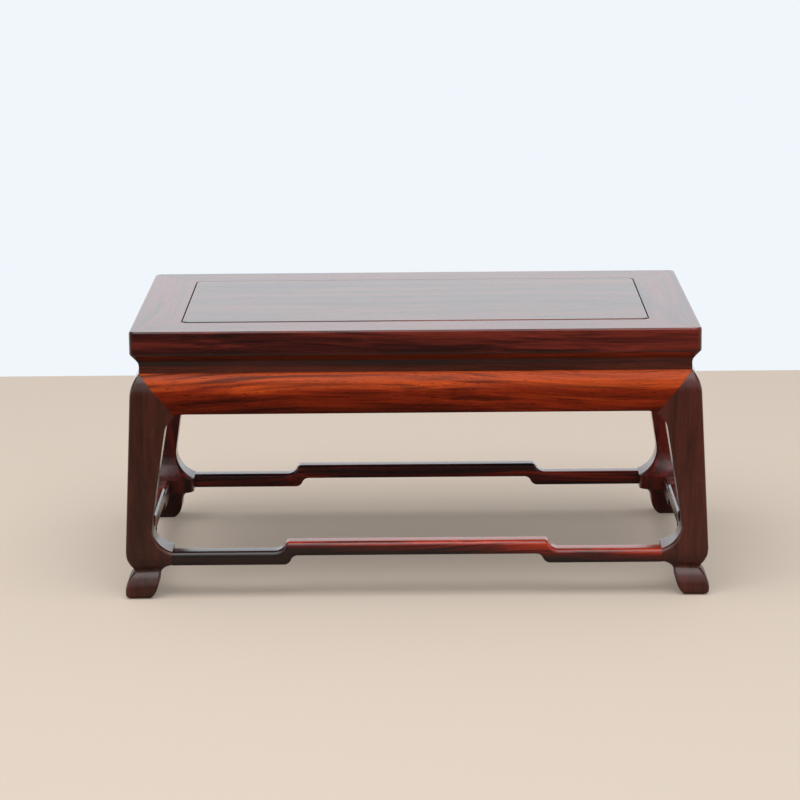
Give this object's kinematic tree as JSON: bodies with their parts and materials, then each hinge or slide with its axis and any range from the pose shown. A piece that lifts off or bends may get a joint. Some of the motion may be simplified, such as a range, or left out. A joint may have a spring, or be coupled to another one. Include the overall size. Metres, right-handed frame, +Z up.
{
  "type": "display stand",
  "caption": "Low rectangular hardwood display stand: framed top panel, recessed waist, aprons mitred into splayed legs with flared feet, humped stretchers. An ornament stands on it.",
  "frame": {"origin": "middle of the floor plan, at the level of the feet's undersides", "axes": "+X to the right along the long side, +Y to the back, +Z up"},
  "size_m": [0.2478, 0.1478, 0.115],
  "materials": {
    "frame_rosewood": "polished wax over red-brown hardwood",
    "panel_rosewood": "polished wax over red-brown hardwood",
    "batten_rosewood": "polished wax over red-brown hardwood",
    "waist_rosewood": "polished wax over red-brown hardwood",
    "apron_rosewood": "polished wax over red-brown hardwood",
    "leg_rosewood": "polished wax over red-brown hardwood",
    "stretcher_rosewood": "polished wax over red-brown hardwood"
  },
  "bodies": {
    "root": {"long_rail_front": "frame_rosewood", "long_rail_back": "frame_rosewood", "end_rail_left": "frame_rosewood", "end_rail_right": "frame_rosewood", "top_panel": "panel_rosewood", "panel_batten_left": "batten_rosewood", "panel_batten_right": "batten_rosewood", "waist_front": "waist_rosewood", "waist_back": "waist_rosewood", "waist_left": "waist_rosewood", "waist_right": "waist_rosewood", "apron_front": "apron_rosewood", "apron_back": "apron_rosewood", "apron_left": "apron_rosewood", "apron_right": "apron_rosewood", "leg_front_left": "leg_rosewood", "leg_front_right": "leg_rosewood", "leg_back_left": "leg_rosewood", "leg_back_right": "leg_rosewood", "stretcher_front": "stretcher_rosewood", "stretcher_back": "stretcher_rosewood", "stretcher_left": "stretcher_rosewood", "stretcher_right": "stretcher_rosewood"}
  },
  "joints": []
}
